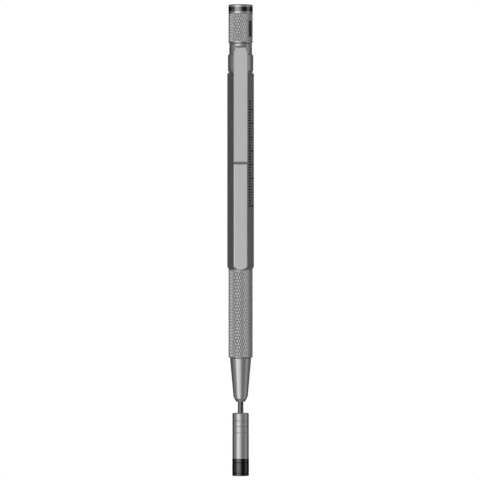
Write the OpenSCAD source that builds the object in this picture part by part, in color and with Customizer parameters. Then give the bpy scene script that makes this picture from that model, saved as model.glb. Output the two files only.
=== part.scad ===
// Clutch drafting pencil for a thick lead, with a hexagonal barrel, a pocket clip, a knurled
// grip and push cap, and a small rotary lead pointer fitted on the extended lead.
// +Z runs up the pencil's axis, the clip faces -Y, and the origin is on the axis at the
// bottom face of the pointer's dust cup.

/* [Lead] */
// Diameter of the lead
lead_d = 2.0; // [1.9:0.05:2.0]
// Length of a fresh lead
lead_length = 130; // [90:1:130]
// Height of the lead's point above the bottom of the dust cup
lead_tip_z = 9.5; // [9.3:0.1:9.7]
// Length of the ground point
point_length = 4.7; // [4.5:0.1:4.9]

/* [Pointer] */
// Diameter of the metal sleeve
pointer_d = 6.0; // [5.9:0.05:6.1]
// Height of the joint between the dust cup and the cutter housing
cup_top_z = 6.3; // [6.2:0.05:6.4]
// Height of the joint between the cutter housing and the guide collar
collar_bottom_z = 15.8; // [15.6:0.1:16]
// Height of the guide collar's top face
collar_top_z = 22.95; // [22.8:0.05:23.1]

/* [Nose and grip] */
// Height of the lowest point of the clutch jaws
jaw_tip_z = 26.95; // [26.8:0.05:27]
// Height of the nose cone's mouth
nose_mouth_z = 28.75; // [28.7:0.05:28.8]
// Height of the joint between nose cone and grip
grip_bottom_z = 43.0; // [42.8:0.1:43.2]
// Height of the joint between grip and barrel
grip_top_z = 75.1; // [74.5:0.1:75.5]
// Diameter over the crests of the grip
grip_d = 8.81; // [8.75:0.01:8.85]

/* [Barrel] */
// Distance across the barrel's flats
across_flats = 8.5; // [8.45:0.01:8.55]
// Height of the groove between barrel and upper barrel
groove_z = 146.9; // [146:0.1:147.5]
// Diameter of the round upper barrel
upper_d = 9.25; // [9.2:0.05:9.3]
// Diameter of the neck under the push cap
neck_d = 8.34; // [8.3:0.02:8.36]

/* [Clip] */
// Width of the clip's arm
clip_width = 4.9; // [4.6:0.1:5]
// Thickness of the clip's strip
clip_thickness = 0.6; // [0.5:0.05:0.7]
// Height of the clip's lower end
clip_bottom_z = 113.2; // [110:0.05:116]

/* [Push cap] */
// Height of the push cap's lower edge
cap_bottom_z = 157.4; // [157.4:0.02:157.5]
// Height of the joint between the knurled shell and the trim collar
shell_top_z = 168.1; // [168:0.1:168.2]
// Height of the joint between the trim collar and the black ring
ring_bottom_z = 168.85; // [168.8:0.05:168.9]
// Height of the joint between the black ring and the crown
crown_bottom_z = 170.5; // [170.4:0.1:170.6]
// Height of the crown's centre
total_height = 171.6; // [171.5:0.1:171.8]

/* [Clutch spring] */
// Number of turns
spring_turns = 12; // [10:1:13]
// Diameter of the wire
wire_d = 0.56; // [0.5:0.02:0.6]

/* [Hidden] */
$fn = 96;
fit = 0.03;                // gap between fitted cylinders
face_gap = 0.02;           // gap between faces that meet
joint_gap = 0.05;          // gap between faces that part when a joint moves
chamfer = 0.15;            // small turned edge break
fine_edge = 0.06;          // smallest edge break
ring_groove = 0.08;        // depth of a fine turned groove
ring_groove_width = 0.24;  // width of a fine turned groove
over = 1;                  // how far a cutter runs past a face
reach = 8;                 // a distance out beyond every surface

lead_r = lead_d / 2;
point_r = 0.15;

pointer_r = pointer_d / 2;
cup_r = pointer_r + 0.05;
cup_floor = 1.0;
cup_wall = 0.4;
plug_bottom_z = cup_top_z - 2.7;
plug_r = cup_r - cup_wall - 0.08;
pocket_r = 2.05;
insert_bottom_z = cup_top_z + 0.9;
insert_top_z = collar_bottom_z - 1.3;
spigot_r = 2.25;
guide_slack = 0.2;
collar_bore_r = spigot_r + 0.1;
spigot_top_z = collar_bottom_z + 2.9;
bush_top_z = collar_top_z - 1.35;
retainer_z = collar_bottom_z + 1.1;
retainer_h = 0.4;
retainer_split = 0.7;
retainer_bite = 0.3;
retainer_rise = 0.22;
seal_z = cup_top_z - 1.35;
seal_wire_r = 0.13;
seal_groove_r = plug_r - 0.22;
seal_groove_h = 0.4;
collar_line_z = [18.0, 20.06];
collar_edge_r = 0.55;
cup_line_z = [0.95, 4.85];
blade_thickness = 0.4;
blade_gap = 0.04;
blade_length = 4.6;
blade_width = 1.25;
blade_side = 0.15;
blade_lift = 0.2;
screw_place = 0.65;
screw_height = 1.15;
screw_r = 0.25;
screw_length = 1.1;
screw_hole_length = 1.5;
screw_head_r = 0.45;
screw_head_h = 0.3;
screw_slot = 0.16;
point_slack = 0.06;
point_angle = atan((lead_r - point_r) / point_length);

flat_y = across_flats / 2;
hex_r = flat_y / cos(30);
hex_corner_r = 0.35;
hex_end_r = 4.3;
hex_turn_angle = 30;       // slope of the turned ends
grip_r = grip_d / 2;
jaw_root_z = 40;
jaw_root_h = 1;
jaw_root_slope_h = 1;
jaw_count = 3;
jaw_slot = 0.35;
jaw_tip_r = 1.61;
jaw_head_r = 2.42;
jaw_round_r = 1.41;
jaw_round_z = 28.52;
jaw_cone = 33;
jaw_side = 11;
jaw_lip = 0.03;
jaw_neck_r = 1.38;
jaw_root_r = 1.85;
jaw_mouth = 0.25;
jaw_mouth_h = 1.2;
jaw_stop_gap = 0.07;
jaw_taper_h = 0.4;
jaw_bore_r = 1.1;
seat_mouth_r = 2.35;
seat_length = 3;
seat_angle = 13;
seat_neck_r = seat_mouth_r - seat_length * tan(seat_angle);
nose_bottom_r = 2.62;
nose_top_r = 3.84;
nose_shoulder_h = 0.6;
nose_edge = 0.3;
nose_bore_r = 2.1;
nose_throat_h = 0.45;
core_r = 3.35;
core_thread_r = 2.9;
core_bottom_z = 37;
core_top_z = 88;
socket_slack = 0.4;
spring_room_r = 2.85;
spring_seat_z = 49.4;
washer_h = 0.5;
spring_bottom_z = spring_seat_z + washer_h;
spring_top_z = 70;
spring_r = 2.4;
spring_dead_turns = 1;     // close turns at each end
spring_close_pitch = 1.05; // pitch of the close turns, in wire diameters
spring_steps = 14;         // facets along a turn
spring_sides = 8;          // facets round the wire
spring_collar_h = 2;
collet_r = 1.95;
collet_top_z = 55;
tube_r = 1.6;
tube_bore_r = 1.2;
tube_bottom_z = 47;
tube_top_z = 165.5;

barrel_bore_r = 2.7;
spigot_bottom_z = 134.5;
upper_spigot_r = 3.3;
groove_r = 4.2;
upper_r = upper_d / 2;
upper_top_z = 153;
neck_r = neck_d / 2;
clip_ring_z = 154.9;
clip_ring_h = 1.0;
bush_bottom_z = 148.5;
bush_slack = 0.3;
bush_thread_r = 2.87;
bush_bore_r = 1.68;
bead_z = 156.4;
bead_top_z = 157.2;
bead_r = neck_r;
bead_edge_r = 0.2;
bead_groove = 0.08;

clip_front_y = 5.4;
clip_root_y = neck_r + 0.13;
clip_top_z = 156.2;
clip_foot_y = flat_y + 0.035;
clip_neck_width = 3.9;
clip_shoulder_z = 153.9;
clip_waist_z = 154.8;
clip_nose_r = 1.45;
clip_corner_r = 0.9;
clip_root_edge = 0.15;
clip_foot_h = 1.35;
clip_foot_slope_h = 1.4;

cap_r = grip_r;
skirt_r = bead_r + 0.05;
skirt_h = 1.6;
cap_bore_r = 2.6;
trim_r = 4.44;
stem_r = 2.4;
stem_bottom_z = 166.3;
crown_edge = 0.45;
crown_dome = 0.15;
crown_dish = 0.04;

mark_count = 39;
mark_pitch = 1;
mark_first_z = 98;
mark_height = 0.4;
mark_depth = 0.1;
mark_edge = 1.5;
mark_lengths = [1.8, 2.6, 3.4];
mark_turn = -120;          // turns the front flat to the flat that carries the scale
index_angle = 54;
index_half = 11;
index_z = 159.7;
index_h = 5.8;
index_depth = 0.12;

steel = [0.62, 0.62, 0.63];
bright = [0.8, 0.8, 0.81];
brass = [0.78, 0.65, 0.35];
black = [0.05, 0.05, 0.05];
graphite = [0.25, 0.25, 0.26];

// ---- helpers ----

// A hollow cylinder standing on z0.
module ring(z0, z1, outer, inner) {
    translate([0, 0, z0])
        difference() {
            cylinder(h = z1 - z0, r = outer);
            translate([0, 0, -over]) cylinder(h = z1 - z0 + 2 * over, r = inner);
        }
}

// A cylinder from z0 to z1.
module rod(z0, z1, r) {
    translate([0, 0, z0]) cylinder(h = z1 - z0, r = r);
}

// A solid of revolution about Z from a list of [radius, height] points.
module turned(points) {
    rotate_extrude() polygon(points);
}

// Points of a quarter-round from the start angle to the end angle, about a centre.
function arc(centre, r, from, to, steps = 8) =
    [for (i = [0:steps]) centre + r * [cos(from + (to - from) * i / steps),
                                       sin(from + (to - from) * i / steps)]];

// The radius of the ground point at height z.
function point_radius(z) =
    min(lead_r, point_r + (z - lead_tip_z) * (lead_r - point_r) / point_length);

// ---- barrel body ----

// The hexagon's outline, with small round corners.
function hex_outline() =
    let (centre_r = hex_r - hex_corner_r / cos(30))
    [for (i = [0:5], p = arc(centre_r * [cos(60 * i), sin(60 * i)], hex_corner_r,
                             60 * i - 30, 60 * i + 30, 6)) p];

// The hexagonal bar with both ends turned to a cone.
module hex_bar() {
    clear_r = hex_r + fit;
    intersection() {
        translate([0, 0, grip_top_z])
            linear_extrude(groove_z - grip_top_z) polygon(hex_outline());
        turned([[0, grip_top_z], [hex_end_r, grip_top_z],
                [clear_r, grip_top_z + (clear_r - hex_end_r) / tan(hex_turn_angle)],
                [clear_r, groove_z - clear_r + groove_r], [groove_r, groove_z], [0, groove_z]]);
    }
}

// One bar of the scale; every fifth is longer and every tenth is the longest.
module mark(i) {
    length = mark_lengths[i % 10 == 0 ? 2 : (i % 5 == 0 ? 1 : 0)];
    rotate([0, 0, mark_turn])
        translate([mark_edge - length, flat_y - mark_depth, mark_first_z + i * mark_pitch])
            cube([length, mark_depth, mark_height]);
}

module scale_marks() {
    color(black)
        for (i = [0:mark_count - 1]) mark(i);
}

module barrel() {
    color(steel)
        difference() {
            hex_bar();
            rod(grip_top_z - over, core_top_z + socket_slack, core_r + fit);
            rod(core_top_z, spigot_bottom_z, barrel_bore_r);
            rod(spigot_bottom_z - socket_slack, groove_z + over, upper_spigot_r + fit);
            for (i = [0:mark_count - 1]) mark(i);
        }
}

module upper_barrel() {
    rise = upper_r - groove_r;
    drop = upper_r - neck_r;
    color(steel)
        difference() {
            turned([[0, spigot_bottom_z], [upper_spigot_r, spigot_bottom_z],
                    [upper_spigot_r, groove_z], [groove_r, groove_z],
                    [upper_r, groove_z + rise], [upper_r, upper_top_z],
                    [neck_r, upper_top_z + drop], [neck_r, clip_ring_z], [0, clip_ring_z]]);
            rod(spigot_bottom_z - over, clip_ring_z + over, bush_bore_r + bush_slack);
            rod(bush_bottom_z - bush_slack, clip_ring_z + over, bush_thread_r + fit);
        }
}

// The ring that carries the clip, clamped between the upper barrel and the bush.
module clip_ring() {
    color(steel)
        difference() {
            union() {
                rod(clip_ring_z, clip_ring_z + clip_ring_h, neck_r);
                translate([-clip_neck_width / 2, joint_gap - clip_root_y, clip_ring_z])
                    cube([clip_neck_width, clip_root_y - joint_gap, clip_ring_h]);
            }
            rod(clip_ring_z - over, clip_ring_z + clip_ring_h + over, bush_thread_r + fit);
        }
}

// The screwed bush that closes the barrel and guides the lead tube.
module top_bush() {
    flange_z = clip_ring_z + clip_ring_h;
    waist_r = bead_r - bead_groove;
    round_x = bead_r - bead_edge_r;
    color(bright)
        difference() {
            turned(concat([[0, bush_bottom_z], [bush_thread_r, bush_bottom_z],
                           [bush_thread_r, flange_z], [waist_r, flange_z], [waist_r, bead_z]],
                          arc([round_x, bead_z + bead_edge_r], bead_edge_r, -50, 0, 4),
                          arc([round_x, bead_top_z - bead_edge_r], bead_edge_r, 0, 90, 6),
                          [[0, bead_top_z]]));
            rod(bush_bottom_z - over, bead_top_z + over, bush_bore_r);
        }
}

// The tube inside the grip that joins nose cone, grip and barrel and seats the spring.
module core_tube() {
    color(brass)
        difference() {
            union() {
                rod(core_bottom_z, grip_bottom_z, core_thread_r);
                rod(grip_bottom_z, core_top_z, core_r);
            }
            rod(core_bottom_z - over, spring_seat_z + over, nose_bore_r);
            rod(spring_seat_z, core_top_z + over, spring_room_r);
        }
}

module grip() {
    color(steel)
        difference() {
            turned([[0, grip_bottom_z], [grip_r - chamfer, grip_bottom_z],
                    [grip_r, grip_bottom_z + chamfer], [grip_r, grip_top_z - chamfer],
                    [grip_r - chamfer, grip_top_z], [0, grip_top_z]]);
            rod(grip_bottom_z - over, grip_top_z + over, core_r + fit);
        }
}

module nose_cone() {
    color(bright)
        difference() {
            turned([[0, nose_mouth_z], [nose_bottom_r, nose_mouth_z],
                    [nose_top_r, grip_bottom_z - nose_shoulder_h],
                    [nose_top_r, grip_bottom_z - nose_edge],
                    [nose_top_r - nose_edge, grip_bottom_z], [0, grip_bottom_z]]);
            turned([[0, nose_mouth_z - over], [seat_mouth_r, nose_mouth_z - over],
                    [seat_mouth_r, nose_mouth_z], [seat_neck_r, nose_mouth_z + seat_length],
                    [nose_bore_r, nose_mouth_z + seat_length + nose_throat_h],
                    [nose_bore_r, core_bottom_z], [0, core_bottom_z]]);
            rod(core_bottom_z - socket_slack, grip_bottom_z + over, core_thread_r + fit);
        }
}

module spring_washer() {
    color(brass) ring(spring_seat_z, spring_bottom_z, spring_room_r - joint_gap, nose_bore_r);
}

// The wire's centre line: close turns at both ends and an even pitch between them.
function coil_height(t) =
    let (dead = spring_dead_turns, live = spring_turns - 2 * dead,
         room = spring_top_z - spring_bottom_z, rise = wire_d * spring_close_pitch,
         open = room - wire_d - 2 * dead * rise - 2 * face_gap)
    spring_bottom_z + face_gap + wire_d / 2
    + rise * (min(t, dead) + max(0, t - dead - live))
    + open * min(max(t - dead, 0), live) / live;

module spring() {
    steps = spring_steps;
    sides = spring_sides;
    rings = spring_turns * steps;
    points = [for (i = [0:rings], k = [0:sides - 1])
                 let (turn = 360 * i / steps, wire = 360 * k / sides,
                      out = spring_r + wire_d / 2 * cos(wire))
                 [out * cos(turn), out * sin(turn),
                  coil_height(i / steps) + wire_d / 2 * sin(wire)]];
    walls = [for (i = [0:rings - 1], k = [0:sides - 1])
                [i * sides + k, i * sides + (k + 1) % sides,
                 (i + 1) * sides + (k + 1) % sides, (i + 1) * sides + k]];
    start = [[for (k = [0:sides - 1]) sides - 1 - k]];
    end = [[for (k = [0:sides - 1]) rings * sides + k]];
    color(bright) polyhedron(points, concat(start, walls, end));
}

// ---- clip ----

// The strip seen from the side, as [distance out from the axis, height].
module clip_side() {
    inner_y = clip_front_y - clip_thickness;
    nose_y = clip_front_y - clip_nose_r;
    nose_turn = acos((clip_foot_y - nose_y) / clip_nose_r);
    polygon(concat(
        [[clip_root_y, clip_top_z - clip_root_edge], [clip_root_y + clip_root_edge, clip_top_z]],
        arc([clip_front_y - clip_corner_r, clip_top_z - clip_corner_r], clip_corner_r, 90, 0),
        arc([nose_y, clip_bottom_z + clip_nose_r * sin(nose_turn)], clip_nose_r, 0, -nose_turn),
        [[clip_foot_y, clip_bottom_z + clip_foot_h],
         [inner_y, clip_bottom_z + clip_foot_h + clip_foot_slope_h],
         [inner_y, clip_ring_z], [clip_root_y, clip_ring_z]]));
}

// The strip seen from the front.
module clip_front() {
    half = clip_width / 2;
    waist = clip_neck_width / 2;
    polygon([[-half, clip_bottom_z - over], [half, clip_bottom_z - over],
             [half, clip_shoulder_z], [waist, clip_waist_z], [waist, clip_top_z + over],
             [-waist, clip_top_z + over], [-waist, clip_waist_z], [-half, clip_shoulder_z]]);
}

module clip_arm() {
    color(steel)
        intersection() {
            translate([clip_width, 0, 0])
                rotate([90, 0, -90]) linear_extrude(2 * clip_width) clip_side();
            rotate([90, 0, 0]) linear_extrude(2 * clip_front_y) clip_front();
        }
}

// ---- push rod ----

module lead_tube() {
    color(brass) ring(tube_bottom_z, tube_top_z, tube_r, tube_bore_r);
}

module collet_body() {
    color(brass)
        difference() {
            rod(jaw_root_z + joint_gap * 2, collet_top_z, collet_r);
            rod(jaw_root_z - over, collet_top_z + over, tube_bore_r);
            rod(tube_bottom_z, collet_top_z + over, tube_r + fit / 2);
        }
}

module spring_collar() {
    color(brass)
        ring(spring_top_z, spring_top_z + spring_collar_h, spring_room_r - 2 * joint_gap,
             tube_r + fit / 2);
}

// The clutch before it is split: a head that sits in the nose's mouth, a thin springy neck
// and a root.
module clutch() {
    shoulder_z = nose_mouth_z - jaw_stop_gap;
    seat_top_z = nose_mouth_z + seat_length;
    mouth_r = lead_r + jaw_mouth;
    round_at = jaw_tip_r - jaw_round_r * cos(jaw_cone)
        + (jaw_round_z - jaw_round_r * sin(jaw_cone) - jaw_tip_z) * tan(jaw_cone);
    difference() {
        turned(concat(
            [[0, jaw_tip_z], [jaw_tip_r, jaw_tip_z]],
            arc([round_at, jaw_round_z], jaw_round_r, -jaw_cone, -jaw_side),
            [[jaw_head_r, shoulder_z - jaw_lip], [jaw_head_r, shoulder_z],
             [seat_mouth_r - fit, shoulder_z], [seat_mouth_r - fit, nose_mouth_z],
             [seat_neck_r - fit, seat_top_z], [jaw_neck_r, seat_top_z + jaw_taper_h],
             [jaw_neck_r, jaw_root_z - jaw_root_h - jaw_root_slope_h],
             [jaw_root_r, jaw_root_z - jaw_root_h],
             [jaw_root_r, jaw_root_z], [0, jaw_root_z]]));
        rod(jaw_tip_z - over, jaw_root_z + over, lead_r + fit / 2);
        turned([[0, jaw_tip_z - over], [mouth_r, jaw_tip_z - over], [mouth_r, jaw_tip_z],
                [0, jaw_tip_z + jaw_mouth_h]]);
        rod(seat_top_z, jaw_root_z + over, jaw_bore_r);
    }
}

// One finger of the clutch; the first one faces the clip's side.
module jaw(i) {
    half = 180 / jaw_count;
    inset = jaw_slot / 2 / sin(half);
    wedge = [[inset, 0], [inset + reach * cos(half), reach * sin(half)],
             [inset + reach, 0], [inset + reach * cos(half), -reach * sin(half)]];
    color(brass)
        rotate([0, 0, 2 * half * i - 90])
            intersection() {
                clutch();
                translate([0, 0, jaw_tip_z - over])
                    linear_extrude(jaw_root_z - jaw_tip_z + 2 * over) polygon(wedge);
            }
}

module jaw_1() jaw(0);
module jaw_2() jaw(1);
module jaw_3() jaw(2);

// ---- push cap ----

// The wedge of wall that the index mark fills.
module index_block(outer) {
    rotate([0, 0, index_angle - 90])
        translate([0, 0, index_z])
            intersection() {
                ring(0, index_h, outer, cap_r - index_depth);
                linear_extrude(index_h)
                    polygon([[0, 0], [reach, -reach * tan(index_half)],
                             [reach, reach * tan(index_half)]]);
            }
}

module cap_shell() {
    color(steel)
        difference() {
            turned([[0, cap_bottom_z], [cap_r - fine_edge, cap_bottom_z],
                    [cap_r, cap_bottom_z + fine_edge], [cap_r, shell_top_z], [0, shell_top_z]]);
            rod(cap_bottom_z - over, cap_bottom_z + skirt_h, skirt_r);
            rod(cap_bottom_z, stem_bottom_z, cap_bore_r);
            rod(cap_bottom_z, shell_top_z + over, stem_r + fit);
            index_block(cap_r + over);
        }
}

module cap_index() {
    color(black) index_block(cap_r);
}

// The sleeve inside the cap that grips the top of the lead tube.
module cap_bush() {
    color(black)
        ring(cap_bottom_z + skirt_h, stem_bottom_z - socket_slack, cap_bore_r - fit,
             tube_r + fit);
}

module cap_trim_collar() {
    color(bright) ring(shell_top_z, ring_bottom_z, trim_r, stem_r + fit);
}

module cap_black_ring() {
    color(black) ring(ring_bottom_z, crown_bottom_z, trim_r, stem_r + fit);
}

module cap_crown() {
    edge_z = total_height - crown_edge - crown_dome;
    color(bright)
        turned(concat([[0, stem_bottom_z], [stem_r, stem_bottom_z], [stem_r, crown_bottom_z],
                       [trim_r, crown_bottom_z]],
                      arc([trim_r - crown_edge, edge_z], crown_edge, 0, 90),
                      [[trim_r / 2, total_height - crown_dish], [0, total_height]]));
}

// ---- lead ----

module lead() {
    color(graphite)
        turned([[0, lead_tip_z], [point_r, lead_tip_z], [lead_r, lead_tip_z + point_length],
                [lead_r, lead_tip_z + lead_length], [0, lead_tip_z + lead_length]]);
}

// ---- pointer ----

// A fine turned line around a cylinder of radius r at height z.
module turned_line(z, r) {
    half = (ring_groove + over) * ring_groove_width / 2 / ring_groove;
    turned([[r - ring_groove, z], [r + over, z - half], [r + over, z + half]]);
}

module pointer_collar() {
    bottom_z = collar_bottom_z + face_gap;
    color(bright)
        difference() {
            turned(concat([[0, bottom_z], [pointer_r - chamfer, bottom_z],
                           [pointer_r, bottom_z + chamfer]],
                          arc([pointer_r - collar_edge_r, collar_top_z - collar_edge_r],
                              collar_edge_r, 0, 90),
                          [[0, collar_top_z]]));
            rod(collar_bottom_z - over, collar_top_z + over, lead_r + guide_slack);
            rod(collar_bottom_z - over, bush_top_z, collar_bore_r);
            rod(retainer_z - 2 * joint_gap, retainer_z + retainer_h + 2 * joint_gap,
                collar_bore_r + retainer_rise);
            for (z = collar_line_z) turned_line(z, pointer_r);
        }
}

module pointer_bush() {
    color(black)
        ring(spigot_top_z + guide_slack, bush_top_z, collar_bore_r - fit / 2,
             lead_r + 2 * face_gap);
}

module cutter_housing() {
    step_z = cup_top_z + face_gap;
    color(bright)
        difference() {
            turned([[0, plug_bottom_z], [plug_r - chamfer, plug_bottom_z],
                    [plug_r, plug_bottom_z + chamfer], [plug_r, step_z], [pointer_r, step_z],
                    [pointer_r, collar_bottom_z - chamfer],
                    [pointer_r - chamfer, collar_bottom_z], [spigot_r, collar_bottom_z],
                    [spigot_r, spigot_top_z], [0, spigot_top_z]]);
            rod(plug_bottom_z - over, insert_top_z, pocket_r);
            rod(plug_bottom_z, spigot_top_z + over, lead_r + guide_slack);
            ring(retainer_z - face_gap, retainer_z + retainer_h + face_gap,
                 spigot_r + over, spigot_r - retainer_bite);
            ring(seal_z - seal_groove_h / 2, seal_z + seal_groove_h / 2, plug_r + over,
                 seal_groove_r);
        }
}

// The open spring ring that lets the collar turn on the housing without coming off.
module retaining_ring() {
    color(bright)
        difference() {
            ring(retainer_z, retainer_z + retainer_h, spigot_r + retainer_rise,
                 spigot_r - retainer_bite + fit);
            translate([0, -retainer_split / 2, retainer_z - over])
                cube([2 * spigot_r, retainer_split, retainer_h + 2 * over]);
        }
}

// Places its children in the blade's frame: X out of the cone, Z up along it.
module at_blade() {
    translate([point_r, 0, lead_tip_z]) rotate([0, point_angle, 0]) children();
}

module blade_plate() {
    at_blade()
        translate([blade_gap, -blade_side, blade_lift])
            cube([blade_thickness, blade_width, blade_length]);
}

// Places its children on the blade's outer face, with Z out of it, where the screw goes in.
module at_screw() {
    at_blade()
        translate([blade_gap + blade_thickness, screw_place, screw_height])
            rotate([0, 90, 0]) children();
}

module screw_hole() {
    at_screw()
        translate([0, 0, -screw_hole_length])
            cylinder(h = screw_hole_length + joint_gap, r = screw_r + face_gap);
}

module cutter_insert() {
    tip_r = point_r + point_slack;
    wide_r = lead_r + point_slack;
    color(brass)
        difference() {
            ring(insert_bottom_z, insert_top_z, pocket_r - fit, tip_r);
            turned([[0, insert_bottom_z - over], [tip_r, insert_bottom_z - over],
                    [tip_r, lead_tip_z], [wide_r, lead_tip_z + point_length],
                    [wide_r, insert_top_z + over], [0, insert_top_z + over]]);
            at_blade()
                translate([blade_gap / 2, -pointer_d / 2, -pointer_d])
                    cube([pointer_d, pointer_d, 2 * pointer_d]);
            screw_hole();
        }
}

module cutter_blade() {
    color(bright)
        difference() {
            blade_plate();
            screw_hole();
        }
}

module blade_screw() {
    color(brass)
        at_screw()
            difference() {
                union() {
                    translate([0, 0, -screw_length]) cylinder(h = screw_length, r = screw_r);
                    cylinder(h = screw_head_h, r = screw_head_r);
                }
                translate([-screw_slot / 2, -over, screw_head_h / 2])
                    cube([screw_slot, 2 * over, over]);
            }
}

module seal_ring() {
    color(black)
        translate([0, 0, seal_z])
            rotate_extrude()
                translate([seal_groove_r + seal_wire_r + face_gap, 0])
                    circle(r = seal_wire_r, $fn = 24);
}

module dust_cup() {
    color(black)
        difference() {
            turned([[0, 0], [cup_r - chamfer, 0], [cup_r, chamfer],
                    [cup_r, cup_top_z - fine_edge], [cup_r - fine_edge, cup_top_z],
                    [0, cup_top_z]]);
            rod(cup_floor, cup_top_z + over, cup_r - cup_wall);
            for (z = cup_line_z) turned_line(z, cup_r);
        }
}

barrel();
scale_marks();
upper_barrel();
clip_ring();
top_bush();
core_tube();
grip();
nose_cone();
spring_washer();
spring();
clip_arm();
lead_tube();
collet_body();
spring_collar();
jaw_1();
jaw_2();
jaw_3();
cap_shell();
cap_index();
cap_bush();
cap_trim_collar();
cap_black_ring();
cap_crown();
lead();
pointer_collar();
pointer_bush();
cutter_housing();
retaining_ring();
cutter_insert();
cutter_blade();
blade_screw();
seal_ring();
dust_cup();
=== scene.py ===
"""Looks of a clutch drafting pencil with a rotary lead pointer on its lead, built around its CAD frame."""
import math
from collections import namedtuple

import bmesh
import bpy
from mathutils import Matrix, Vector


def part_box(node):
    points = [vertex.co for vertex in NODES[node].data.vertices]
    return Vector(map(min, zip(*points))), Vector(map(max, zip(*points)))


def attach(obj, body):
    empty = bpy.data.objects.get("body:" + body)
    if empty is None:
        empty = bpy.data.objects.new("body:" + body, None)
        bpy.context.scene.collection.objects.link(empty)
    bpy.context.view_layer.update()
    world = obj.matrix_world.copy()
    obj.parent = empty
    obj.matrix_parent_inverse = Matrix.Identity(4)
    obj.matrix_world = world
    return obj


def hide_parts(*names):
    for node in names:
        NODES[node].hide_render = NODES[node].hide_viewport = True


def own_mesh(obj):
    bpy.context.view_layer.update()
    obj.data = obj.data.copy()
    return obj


MM = 0.001

# ---- frame ----

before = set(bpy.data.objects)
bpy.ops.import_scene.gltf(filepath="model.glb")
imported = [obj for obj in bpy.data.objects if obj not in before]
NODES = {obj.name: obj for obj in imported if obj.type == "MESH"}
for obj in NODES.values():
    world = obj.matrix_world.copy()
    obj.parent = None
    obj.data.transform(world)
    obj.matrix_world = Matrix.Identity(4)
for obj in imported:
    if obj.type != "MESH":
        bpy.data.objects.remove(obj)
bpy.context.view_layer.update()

# ---- sizes and levels ----

# The camera stands square in front of the object. Its lens and sensor are in millimetres, the
# rest in metres.
VIEW_DISTANCE = 1.456
LENS = 300.0
SENSOR = 36.0
NEAREST = 0.05
FARTHEST = 20.0
AIM_X = -0.22 * MM
AIM_Z = 85.8 * MM

# The floor lies far enough down to leave room for views from below, and is wide enough to shut
# out the studio's light from there.
FLOOR_Z = -1.6
FLOOR_HALF = 30.0

WHITE = (1, 1, 1, 1)

# Brightness of the studio round the object: degrees to the right of the camera, and brightness.
# The first stop is at -180.
STUDIO = [
    (-180, 0.9), (-172, 0.5), (-160, 0.05), (-138, 0.01), (-112, 0.02), (-95, 0.12), (-76, 0.18),
    (-62, 0.28), (-50, 0.98), (-43, 1.22), (-30, 1.20), (-15, 0.98), (-1, 0.60), (12, 0.13),
    (26, 0.04), (45, 0.01), (56, 0.06), (68, 0.32), (80, 0.34), (92, 0.18), (112, 0.03),
    (138, 0.01), (160, 0.05), (172, 0.5), (180, 0.9),
]
# Degrees up or down over which the studio darkens, and the share of brightness left beyond.
STUDIO_STEEP_START = 22
STUDIO_STEEP_END = 40
STUDIO_STEEP_SHARE = 0.15

# Wide soft lights that only lift the matt share of each surface: degrees to the right of the
# camera, degrees up, spread in degrees, and strength.
FILLS = [(30, 20, 40, 0.8), (180, 20, 30, 0.9)]

# Height of the surface grain, before each material's own bump strength, and its noise's detail.
GRAIN_DEPTH = 0.01 * MM
GRAIN_DETAIL = 4

# A knurl: diamonds round it, height of a diamond, depth of its grooves, thickness of the tube,
# turned edge, and height of the plain band at the bottom and at the top.
Knurl = namedtuple("Knurl", "count pitch depth wall edge band_low band_high")
GRIP_KNURL = Knurl(32, 2.30 * MM, 0.16 * MM, 1.0 * MM, 0.15 * MM, 0.35 * MM, 0.30 * MM)
CAP_KNURL = Knurl(32, 2.07 * MM, 0.14 * MM, 0.185 * MM, 0.10 * MM, 0.55 * MM, 0.15 * MM)
# A diamond's corners, in half widths round the knurl and half heights up it.
DIAMOND = ((1, 0), (0, 1), (-1, 0), (0, -1))
# The flat top of a diamond as a share of its width, the step from crest to plain band, and the
# height of the slope between groove and plain band.
KNURL_FLAT = 0.50
KNURL_BAND_DROP = 0.01 * MM
KNURL_BAND_SLOPE = 0.04 * MM
KNURL_WELD = 0.002 * MM
# How much darker the knurl's colour is in its grooves, painted shade with some dirt, and brighter on its
# crests, rubbed wear with some painted highlight.
GROOVE_SHADE = 0.65
CREST_SHADE = 1.15

# The clutch spring. The pitch of its close end turns is in wire diameters.
SPRING_WIRE = 0.56 * MM
SPRING_TURNS = 12
SPRING_CLOSE_PITCH = 1.05
SPRING_STEPS = 48
SPRING_SIDES = 16

WELD = 0.001 * MM
# The rounding of the stamped clip: width, steps, and the least angle of an edge that gets it.
CLIP_ROUND = 0.2 * MM
CLIP_ROUND_STEPS = 3
CLIP_ROUND_ANGLE = 50


# ---- shader nodes ----


def math_node(tree, operation, *values):
    """A Math node's result, from numbers and sockets."""
    node = tree.nodes.new("ShaderNodeMath")
    node.operation = operation
    for socket, value in zip(node.inputs, values):
        if isinstance(value, (int, float)):
            socket.default_value = value
        else:
            tree.links.new(value, socket)
    return node.outputs[0]


def remap(tree, value, low, high, from_low=0.0, from_high=1.0, blend="LINEAR"):
    """Carries a socket's value from one range to another."""
    node = tree.nodes.new("ShaderNodeMapRange")
    node.interpolation_type = blend
    tree.links.new(value, node.inputs["Value"])
    node.inputs["From Min"].default_value = from_low
    node.inputs["From Max"].default_value = from_high
    node.inputs["To Min"].default_value = low
    node.inputs["To Max"].default_value = high
    return node.outputs["Result"]


def scaled(tree, colour, factor):
    """Scales a colour, given as numbers or as a socket, by the factor's socket."""
    node = tree.nodes.new("ShaderNodeVectorMath")
    node.operation = "SCALE"
    if isinstance(colour, tuple):
        node.inputs[0].default_value = colour
    else:
        tree.links.new(colour, node.inputs[0])
    tree.links.new(factor, node.inputs["Scale"])
    return node.outputs[0]


# ---- camera, backdrop and light ----


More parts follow.
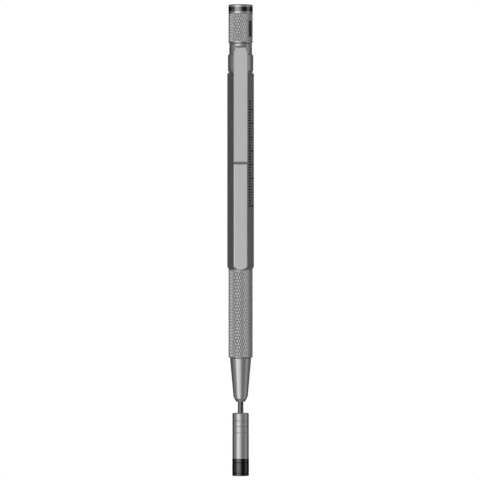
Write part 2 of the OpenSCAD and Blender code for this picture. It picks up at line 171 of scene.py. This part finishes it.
def make_camera():
    data = bpy.data.cameras.new("camera")
    data.type = "PERSP"
    data.sensor_width = SENSOR
    data.lens = LENS
    data.clip_start = NEAREST
    data.clip_end = FARTHEST
    camera = bpy.data.objects.new("camera", data)
    camera.location = (AIM_X, -VIEW_DISTANCE, AIM_Z)
    camera.rotation_euler = (math.pi / 2, 0, 0)
    bpy.context.collection.objects.link(camera)
    bpy.context.scene.camera = camera


def floor_paper():
    material = bpy.data.materials.new("floor_paper")
    material.use_nodes = True
    tree = material.node_tree
    tree.nodes.clear()
    glow = tree.nodes.new("ShaderNodeEmission")
    glow.inputs["Color"].default_value = WHITE
    out = tree.nodes.new("ShaderNodeOutputMaterial")
    tree.links.new(glow.outputs[0], out.inputs["Surface"])
    return material


def make_floor():
    half = FLOOR_HALF
    corners = [(-half, -half, 0), (half, -half, 0), (half, half, 0), (-half, half, 0)]
    mesh = bpy.data.meshes.new("floor")
    mesh.from_pydata(corners, [], [(0, 1, 2, 3)])
    mesh.materials.append(floor_paper())
    floor = bpy.data.objects.new("floor", mesh)
    floor.location.z = FLOOR_Z
    floor.visible_glossy = False
    floor.visible_diffuse = False
    bpy.context.collection.objects.link(floor)


def studio_colour(tree, direction):
    """The studio's grey level by direction round the object."""
    ahead = math_node(tree, "MULTIPLY", direction.outputs["Y"], -1)
    turn = math_node(tree, "ARCTAN2", direction.outputs["X"], ahead)
    share = math_node(tree, "ADD", math_node(tree, "DIVIDE", turn, 2 * math.pi), 0.5)
    ramp = tree.nodes.new("ShaderNodeValToRGB")
    tree.links.new(share, ramp.inputs[0])
    stops = ramp.color_ramp.elements
    stops.remove(stops[1])
    first_level = STUDIO[0][1]
    stops[0].color = (first_level, first_level, first_level, 1)
    for degrees, level in STUDIO[1:]:
        stops.new(degrees / 360 + 0.5).color = (level, level, level, 1)
    return ramp.outputs["Color"]


def make_studio():
    """A ring of soft boxes as the world, darker towards straight up and down, on white paper."""
    world = bpy.data.worlds.new("studio")
    world.use_nodes = True
    bpy.context.scene.world = world
    tree = world.node_tree
    tree.nodes.clear()
    new, link = tree.nodes.new, tree.links.new
    where = new("ShaderNodeTexCoord")
    direction = new("ShaderNodeSeparateXYZ")
    link(where.outputs["Generated"], direction.inputs[0])
    steep = remap(tree, math_node(tree, "ABSOLUTE", direction.outputs["Z"]),
                  1.0, STUDIO_STEEP_SHARE, math.sin(math.radians(STUDIO_STEEP_START)),
                  math.sin(math.radians(STUDIO_STEEP_END)), "SMOOTHSTEP")
    lit = new("ShaderNodeBackground")
    link(studio_colour(tree, direction), lit.inputs["Color"])
    link(steep, lit.inputs["Strength"])
    paper = new("ShaderNodeBackground")
    paper.inputs["Color"].default_value = WHITE
    path = new("ShaderNodeLightPath")
    mix = new("ShaderNodeMixShader")
    link(path.outputs["Is Camera Ray"], mix.inputs["Fac"])
    link(lit.outputs[0], mix.inputs[1])
    link(paper.outputs[0], mix.inputs[2])
    out = new("ShaderNodeOutputWorld")
    link(mix.outputs[0], out.inputs["Surface"])


def make_fills():
    for i, (turn, rise, spread, strength) in enumerate(FILLS):
        data = bpy.data.lights.new(f"fill_{i}", "SUN")
        data.energy = strength
        data.angle = math.radians(spread)
        fill = bpy.data.objects.new(f"fill_{i}", data)
        fill.rotation_euler = (math.radians(90 - rise), 0, math.radians(turn))
        fill.visible_glossy = False
        bpy.context.collection.objects.link(fill)


# ---- materials ----


def shader_of(material):
    return material.node_tree.nodes["Principled BSDF"]


def surface(name, colour, colour_spread, rough, rough_spread, scale,
            metallic=0.0, stretch=(1, 1, 1), bump=0.0):
    """A new material whose colour, roughness and height vary with one noise.

    The noise is stretched along an axis for a turned or drawn look."""
    material = bpy.data.materials.new(name)
    material.use_nodes = True
    tree = material.node_tree
    new, link = tree.nodes.new, tree.links.new
    shader = shader_of(material)
    shader.inputs["Metallic"].default_value = metallic
    where = new("ShaderNodeTexCoord")
    mapping = new("ShaderNodeMapping")
    mapping.inputs["Scale"].default_value = stretch
    link(where.outputs["Object"], mapping.inputs["Vector"])
    noise = new("ShaderNodeTexNoise")
    noise.inputs["Scale"].default_value = scale
    noise.inputs["Detail"].default_value = GRAIN_DETAIL
    link(mapping.outputs[0], noise.inputs["Vector"])
    tint = remap(tree, noise.outputs["Fac"], 1 - colour_spread, 1 + colour_spread)
    link(scaled(tree, colour, tint), shader.inputs["Base Color"])
    blur = remap(tree, noise.outputs["Fac"], rough - rough_spread, rough + rough_spread)
    link(blur, shader.inputs["Roughness"])
    if bump:
        lift = new("ShaderNodeBump")
        lift.inputs["Strength"].default_value = bump
        lift.inputs["Distance"].default_value = GRAIN_DEPTH
        link(noise.outputs["Fac"], lift.inputs["Height"])
        link(lift.outputs[0], shader.inputs["Normal"])
    return material


def satin_steel():
    return surface("satin_steel", metallic=0.77, colour=(0.86, 0.86, 0.86), colour_spread=0.04,
                   rough=0.32, rough_spread=0.06, scale=4000, stretch=(1, 1, 0.03), bump=0.12)


def knurled_steel(crest, depth):
    """Satin plate, brighter on the knurl's crests as rubbed wear with some painted highlight, and darker
    down in its grooves as painted shade with some dirt.
    """
    material = surface("knurled_steel", metallic=0.60, colour=(0.70, 0.70, 0.70),
                       colour_spread=0.06, rough=0.28, rough_spread=0.05, scale=9000, bump=0.15)
    tree = material.node_tree
    where = tree.nodes.new("ShaderNodeTexCoord")
    across = tree.nodes.new("ShaderNodeVectorMath")
    across.operation = "MULTIPLY"
    tree.links.new(where.outputs["Object"], across.inputs[0])
    across.inputs[1].default_value = (1, 1, 0)
    radius = tree.nodes.new("ShaderNodeVectorMath")
    radius.operation = "LENGTH"
    tree.links.new(across.outputs[0], radius.inputs[0])
    # Painted shade darkens the colour down in the grooves, and the crests are painted brighter, partly as
    # rubbed wear and partly as highlight.
    groove_shade_and_crest_wear = remap(tree, radius.outputs["Value"], GROOVE_SHADE, CREST_SHADE, crest - depth, crest)
    base = shader_of(material).inputs["Base Color"]
    tree.links.new(scaled(tree, base.links[0].from_socket, groove_shade_and_crest_wear), base)
    return material


def polished_steel():
    return surface("polished_steel", metallic=0.60, colour=(0.70, 0.70, 0.70), colour_spread=0.03,
                   rough=0.15, rough_spread=0.03, scale=400, stretch=(1, 1, 60), bump=0.04)


def spring_wire():
    return surface("spring_wire", metallic=1.0, colour=(0.48, 0.48, 0.49), colour_spread=0.06,
                   rough=0.24, rough_spread=0.05, scale=3000, bump=0.1)


def machined_brass():
    return surface("machined_brass", metallic=1.0, colour=(0.70, 0.53, 0.25), colour_spread=0.08,
                   rough=0.28, rough_spread=0.08, scale=300, stretch=(1, 1, 40), bump=0.1)


def black_gloss():
    material = surface("black_gloss", colour=(0.003, 0.003, 0.0032), colour_spread=0.2,
                       rough=0.08, rough_spread=0.03, scale=500)
    shader = shader_of(material)
    shader.inputs["Specular IOR Level"].default_value = 1.0
    shader.inputs["Coat Weight"].default_value = 1.0
    shader.inputs["Coat Roughness"].default_value = 0.06
    shader.inputs["Coat IOR"].default_value = 1.7
    return material


def black_plate():
    return surface("black_plate", metallic=1.0, colour=(0.30, 0.30, 0.303), colour_spread=0.04,
                   rough=0.07, rough_spread=0.02, scale=400, stretch=(1, 1, 60), bump=0.03)


def jaw_metal():
    return surface("jaw_metal", metallic=0.60, colour=(0.80, 0.80, 0.80), colour_spread=0.05,
                   rough=0.12, rough_spread=0.04, scale=900, bump=0.06)


def black_enamel():
    return surface("black_enamel", colour=(0.012, 0.012, 0.012), colour_spread=0.2,
                   rough=0.35, rough_spread=0.06, scale=5000, bump=0.1)


def inner_plastic():
    return surface("inner_plastic", colour=(0.05, 0.05, 0.052), colour_spread=0.1,
                   rough=0.5, rough_spread=0.06, scale=3000, bump=0.1)


def graphite():
    return surface("graphite", metallic=0.80, colour=(0.24, 0.24, 0.245), colour_spread=0.25,
                   rough=0.10, rough_spread=0.04, scale=2500, stretch=(1, 1, 0.15), bump=0.25)


def seal_rubber():
    return surface("seal_rubber", colour=(0.02, 0.02, 0.02), colour_spread=0.15,
                   rough=0.7, rough_spread=0.08, scale=4000, bump=0.2)


# ---- finish of the CAD nodes ----


def dress(material, *names):
    for name in names:
        data = NODES[name].data
        if not data.materials:
            data.materials.append(material)
        for slot in NODES[name].material_slots:
            slot.link = "OBJECT"
            slot.material = material


def dress_nodes(wire):
    dress(satin_steel(), "barrel", "clip_arm", "grip", "cap_shell")
    dress(polished_steel(), "upper_barrel", "clip_ring", "top_bush", "nose_cone",
          "cap_trim_collar", "cap_crown", "pointer_collar", "cutter_housing")
    dress(jaw_metal(), "jaw_1", "jaw_2", "jaw_3")
    dress(machined_brass(), "core_tube", "spring_washer", "lead_tube", "collet_body",
          "spring_collar", "cutter_insert", "blade_screw")
    dress(wire, "spring", "retaining_ring", "cutter_blade")
    dress(black_gloss(), "dust_cup")
    dress(black_plate(), "cap_black_ring")
    dress(black_enamel(), "scale_marks", "cap_index")
    dress(inner_plastic(), "cap_bush", "pointer_bush")
    dress(graphite(), "lead")
    dress(seal_rubber(), "seal_ring")


def soften(name, width, steps, least_angle):
    """Rounds a node's sharp edges, as stamping or tumbling leaves them."""
    node = NODES[name]
    weld = node.modifiers.new("weld", "WELD")
    weld.merge_threshold = WELD
    bevel = node.modifiers.new("soft_edges", "BEVEL")
    bevel.width = width
    bevel.segments = steps
    bevel.limit_method = "ANGLE"
    bevel.angle_limit = math.radians(least_angle)
    bevel.use_clamp_overlap = True


def new_piece(name, mesh, material):
    """Turns a bmesh into an object of one material."""
    bmesh.ops.recalc_face_normals(mesh, faces=mesh.faces[:])
    data = bpy.data.meshes.new(name)
    mesh.to_mesh(data)
    mesh.free()
    data.materials.append(material)
    piece = bpy.data.objects.new(name, data)
    bpy.context.collection.objects.link(piece)
    return piece


# ---- knurls ----


def diamond(mesh, radius, angle, z, knurl, share):
    """The four corners of a diamond on a cylinder, at a share of its full size."""
    half_turn = math.pi / knurl.count * share
    half_height = knurl.pitch / 2 * share
    return [mesh.verts.new((radius * math.cos(angle + side * half_turn),
                            radius * math.sin(angle + side * half_turn),
                            z + up * half_height))
            for side, up in DIAMOND]


def add_diamonds(mesh, low, high, crest, knurl):
    """Covers at least the height from low to high with diamonds of one flat and four slopes."""
    step = 2 * math.pi / knurl.count
    rise = knurl.pitch / 2
    start = low + knurl.band_low - knurl.pitch
    spare_rows = 4
    for row in range(int((high - low) / rise) + spare_rows):
        for column in range(knurl.count):
            angle = (column + 0.5 * (row % 2)) * step
            z = start + row * rise
            outer = diamond(mesh, crest - knurl.depth, angle, z, knurl, 1)
            inner = diamond(mesh, crest, angle, z, knurl, KNURL_FLAT)
            mesh.faces.new(inner)
            for i in range(len(DIAMOND)):
                j = (i + 1) % len(DIAMOND)
                mesh.faces.new((outer[i], outer[j], inner[j], inner[i]))


def trim(mesh, low, high):
    """Cuts off what is below low or above high, and welds the faces together."""
    for z, above in ((low, False), (high, True)):
        geometry = mesh.verts[:] + mesh.edges[:] + mesh.faces[:]
        bmesh.ops.bisect_plane(mesh, geom=geometry, plane_co=(0, 0, z), plane_no=(0, 0, 1),
                               clear_inner=not above, clear_outer=above)
    bmesh.ops.remove_doubles(mesh, verts=mesh.verts[:], dist=KNURL_WELD)


def carry(mesh, edges, profile):
    """Carries a ring of edges along [radius, height] points."""
    for r, z in profile:
        made = bmesh.ops.extrude_edge_only(mesh, edges=edges)["geom"]
        edges = [part for part in made if isinstance(part, bmesh.types.BMEdge)]
        for vert in (part for part in made if isinstance(part, bmesh.types.BMVert)):
            around = math.hypot(vert.co.x, vert.co.y)
            vert.co = (vert.co.x * r / around, vert.co.y * r / around, z)


def knurled_tube(name, low, high, crest, knurl, material):
    """A tube with a diamond knurl outside and plain turned bands at both ends.

    The wall of its bore meets the bottom face in an open seam: they share no vertices."""
    groove = crest - knurl.depth
    bore = crest - knurl.wall
    skin = crest - KNURL_BAND_DROP
    edge = knurl.edge
    band_low_z = low + knurl.band_low
    band_high_z = high - knurl.band_high
    mesh = bmesh.new()
    add_diamonds(mesh, low, high, crest, knurl)
    trim(mesh, band_low_z, band_high_z)
    middle = (low + high) / 2
    rims = [e for e in mesh.edges if e.is_boundary]
    low_rim = [e for e in rims if e.verts[0].co.z < middle]
    high_rim = [e for e in rims if e.verts[0].co.z >= middle]
    carry(mesh, low_rim, [(groove, band_low_z), (skin, band_low_z - KNURL_BAND_SLOPE),
                          (skin, low + edge), (skin - edge, low), (bore, low)])
    carry(mesh, high_rim, [(groove, band_high_z), (skin, band_high_z + KNURL_BAND_SLOPE),
                           (skin, high - edge), (skin - edge, high), (bore, high), (bore, low)])
    bmesh.ops.remove_doubles(mesh, verts=mesh.verts[:], dist=WELD)
    return new_piece(name, mesh, material)


def make_knurls():
    low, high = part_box("grip")
    material = knurled_steel(high.x, GRIP_KNURL.depth)
    grip = knurled_tube("grip_knurl", low.z, high.z, high.x, GRIP_KNURL, material)
    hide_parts("grip")
    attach(grip, "barrel_body")
    low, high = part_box("cap_shell")
    cap = knurled_tube("cap_knurl", low.z, high.z, high.x, CAP_KNURL, material)
    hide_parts("cap_shell")
    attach(cap, "push_cap")


# ---- spring ----


def coil_height(turns, low, high):
    """Height of the wire's middle: one close turn at each end, and an even pitch between."""
    close_rise = SPRING_CLOSE_PITCH * SPRING_WIRE
    open_turns = SPRING_TURNS - 2
    open_rise = (high - low - SPRING_WIRE - 2 * close_rise) / open_turns
    opened = min(max(turns - 1, 0), open_turns)
    return low + SPRING_WIRE / 2 + close_rise * (turns - opened) + open_rise * opened


def wire_ring(mesh, radius, angle, z):
    """A round section of the wire, radius out from the axis at an angle and height."""
    wire = SPRING_WIRE / 2
    ring = []
    for side in range(SPRING_SIDES):
        around = 2 * math.pi * side / SPRING_SIDES
        out = radius + wire * math.cos(around)
        ring.append(mesh.verts.new((out * math.cos(angle), out * math.sin(angle),
                                    z + wire * math.sin(around))))
    return ring


def make_spring(material):
    """The clutch spring, which in the pencil shortens with the push; here a coil of round wire at rest
    length.
    """
    low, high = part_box("spring")
    radius = high.x - SPRING_WIRE / 2
    mesh = bmesh.new()
    rings = []
    for step in range(SPRING_TURNS * SPRING_STEPS + 1):
        turns = step / SPRING_STEPS
        z = coil_height(turns, low.z, high.z)
        rings.append(wire_ring(mesh, radius, 2 * math.pi * turns, z))
    mesh.faces.new(rings[0])
    for last, ring in zip(rings, rings[1:]):
        for side in range(SPRING_SIDES):
            after = (side + 1) % SPRING_SIDES
            wall = mesh.faces.new((last[side], last[after], ring[after], ring[side]))
            wall.smooth = True
    mesh.faces.new(rings[-1])
    coil = new_piece("spring_coil", mesh, material)
    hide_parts("spring")
    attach(coil, "barrel_body")
    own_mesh(coil)


# ---- put together ----


make_camera()
make_floor()
make_studio()
make_fills()
spring_steel = spring_wire()
make_spring(spring_steel)
dress_nodes(spring_steel)
make_knurls()
soften("clip_arm", CLIP_ROUND, CLIP_ROUND_STEPS, CLIP_ROUND_ANGLE)
bpy.context.scene.view_settings.view_transform = "Standard"
